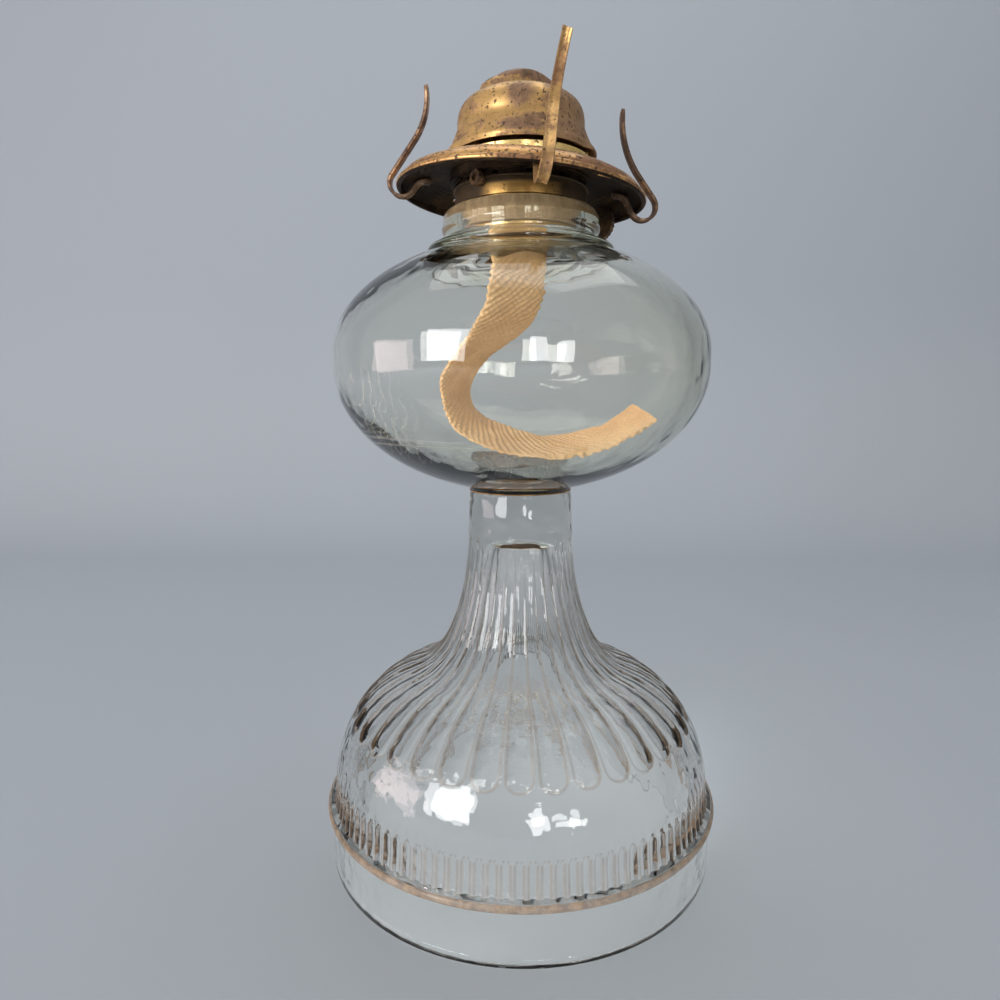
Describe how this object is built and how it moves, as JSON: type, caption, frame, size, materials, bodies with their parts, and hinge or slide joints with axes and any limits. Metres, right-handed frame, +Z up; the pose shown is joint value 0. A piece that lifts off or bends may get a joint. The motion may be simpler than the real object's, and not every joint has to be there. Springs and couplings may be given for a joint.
{
  "type": "kerosene lamp",
  "caption": "Flat-wick kerosene lamp: fluted glass pedestal, round glass font and a brass burner with a deflector dome, sprung chimney prongs and a thumb wheel that raises the wick.",
  "frame": {"origin": "middle of the pedestal's foot, on the table", "axes": "+Z up along the lamp's axis, -Y towards the front prong and the viewer, +X to the right"},
  "size_m": [0.1328, 0.1328, 0.256],
  "materials": {
    "pressed_glass": "gloss",
    "font_glass": "gloss",
    "amber_cement": "gloss",
    "plaster": "matte",
    "burner_brass": "tarnished",
    "gallery_brass": "tarnished",
    "dome_brass": "tarnished",
    "prong_brass": "tarnished",
    "bright_brass": "polished",
    "wick_cotton": "woven"
  },
  "bodies": {
    "lamp": {"pedestal": "pressed_glass", "stem_cement": "amber_cement", "font": "font_glass", "collar_cement": "plaster", "collar": "burner_brass"},
    "burner": {"thread_shell": "burner_brass", "burner_cup": "burner_brass", "air_basket": "burner_brass", "wick_tube": "burner_brass", "vent_tube": "burner_brass", "sprocket_box": "burner_brass", "shaft_ferrule": "burner_brass"},
    "spindle": {"wick_shaft": "burner_brass", "sprocket_wheels": "burner_brass", "thumb_wheel": "burner_brass"},
    "wick": {"wick": "wick_cotton"},
    "gallery": {"gallery": "gallery_brass", "gallery_spring": "burner_brass", "dome_seat": "bright_brass", "dome": "dome_brass", "prong_rivets": "burner_brass"},
    "prong_front": {"prong_front": "prong_brass"},
    "prong_right": {"prong_right": "prong_brass"},
    "prong_back": {"prong_back": "prong_brass"},
    "prong_left": {"prong_left": "prong_brass"}
  },
  "joints": [
    {"name": "burner_unscrew", "type": "hinge", "parent": "lamp", "child": "burner", "pos_m": [0, 0, 0.21], "axis": [0, 0, 1], "range_deg": [0, 900]},
    {"name": "thumb_turn", "type": "hinge", "parent": "burner", "child": "spindle", "pos_m": [0.00309, -0.0032, 0.2167], "axis": [0.7171, 0.6925, -0.0785], "range_deg": [-10, 180]},
    {"name": "wick_raise", "type": "slide", "parent": "burner", "child": "wick", "axis": [0, 0, 1], "range_m": [-0.00052, 0.00942]},
    {"name": "gallery_lift", "type": "slide", "parent": "burner", "child": "gallery", "axis": [0, 0, 1], "range_m": [0, 0.03]},
    {"name": "prong_front_flex", "type": "hinge", "parent": "gallery", "child": "prong_front", "pos_m": [0.00462, -0.02934, 0.22427], "axis": [0.9876, 0.1392, -0.0725], "range_deg": [0, 8], "stiffness_Nm_per_rad": 1.4},
    {"name": "prong_right_flex", "type": "hinge", "parent": "gallery", "child": "prong_right", "pos_m": [0.02976, 0.00412, 0.22243], "axis": [-0.1388, 0.9903, 0.0102], "range_deg": [0, 8], "stiffness_Nm_per_rad": 1.4},
    {"name": "prong_back_flex", "type": "hinge", "parent": "gallery", "child": "prong_back", "pos_m": [-0.00104, 0.02959, 0.22469], "axis": [-0.9959, -0.0523, 0.0731], "range_deg": [0, 8], "stiffness_Nm_per_rad": 1.4},
    {"name": "prong_left_flex", "type": "hinge", "parent": "gallery", "child": "prong_left", "pos_m": [-0.02893, 0.00258, 0.22674], "axis": [-0.0869, -0.9962, 0.0064], "range_deg": [0, 8], "stiffness_Nm_per_rad": 1.4}
  ],
  "couplings": [
    {"joint": "thumb_turn", "follows": "wick_raise", "rad_per_m": 333.33}
  ]
}
